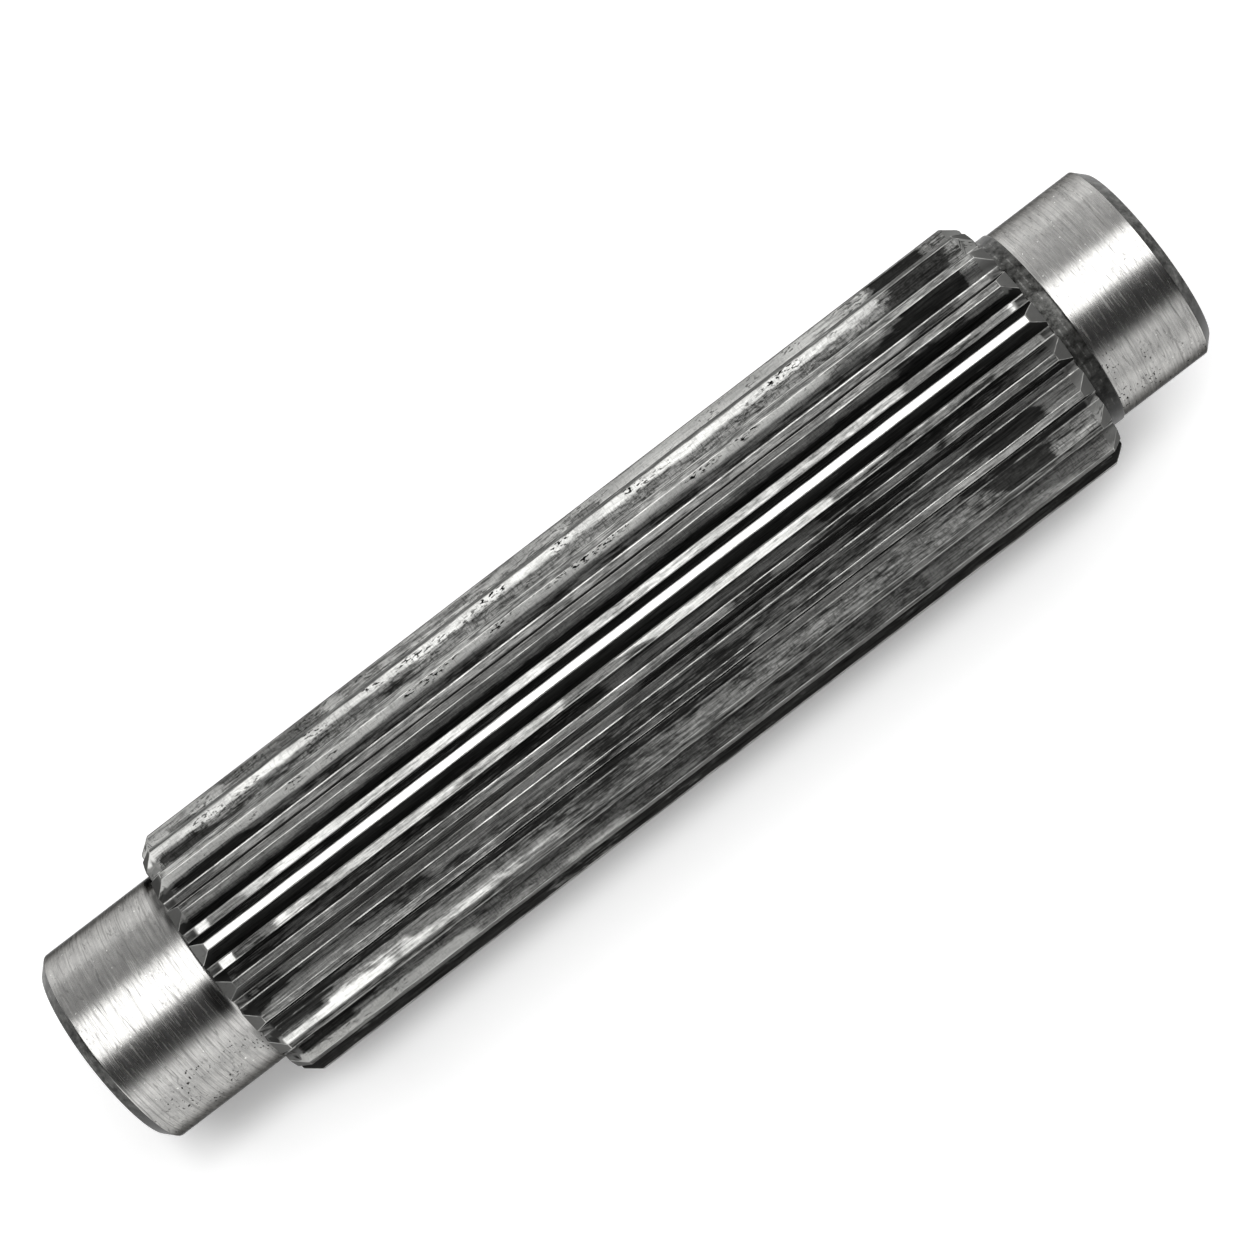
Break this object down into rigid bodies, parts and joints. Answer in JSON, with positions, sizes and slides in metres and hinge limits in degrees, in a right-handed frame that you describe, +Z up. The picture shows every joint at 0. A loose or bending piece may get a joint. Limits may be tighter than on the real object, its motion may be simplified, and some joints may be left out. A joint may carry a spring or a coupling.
{
  "type": "splined shaft",
  "caption": "Steel shaft with straight involute spline teeth along its middle and a plain round bearing journal at each end.",
  "frame": {"origin": "on the shaft's axis, half way along its length", "axes": "+X along the axis towards the journal that has the unground collar, +Z up, as the shaft lies on two of its teeth"},
  "size_m": [0.231, 0.0516, 0.0516],
  "materials": {
    "steel": "ground bright on the journals, dark oxide skin worn through to bright steel on the teeth"
  },
  "bodies": {
    "root": {"splined_shaft": "steel"}
  },
  "joints": []
}
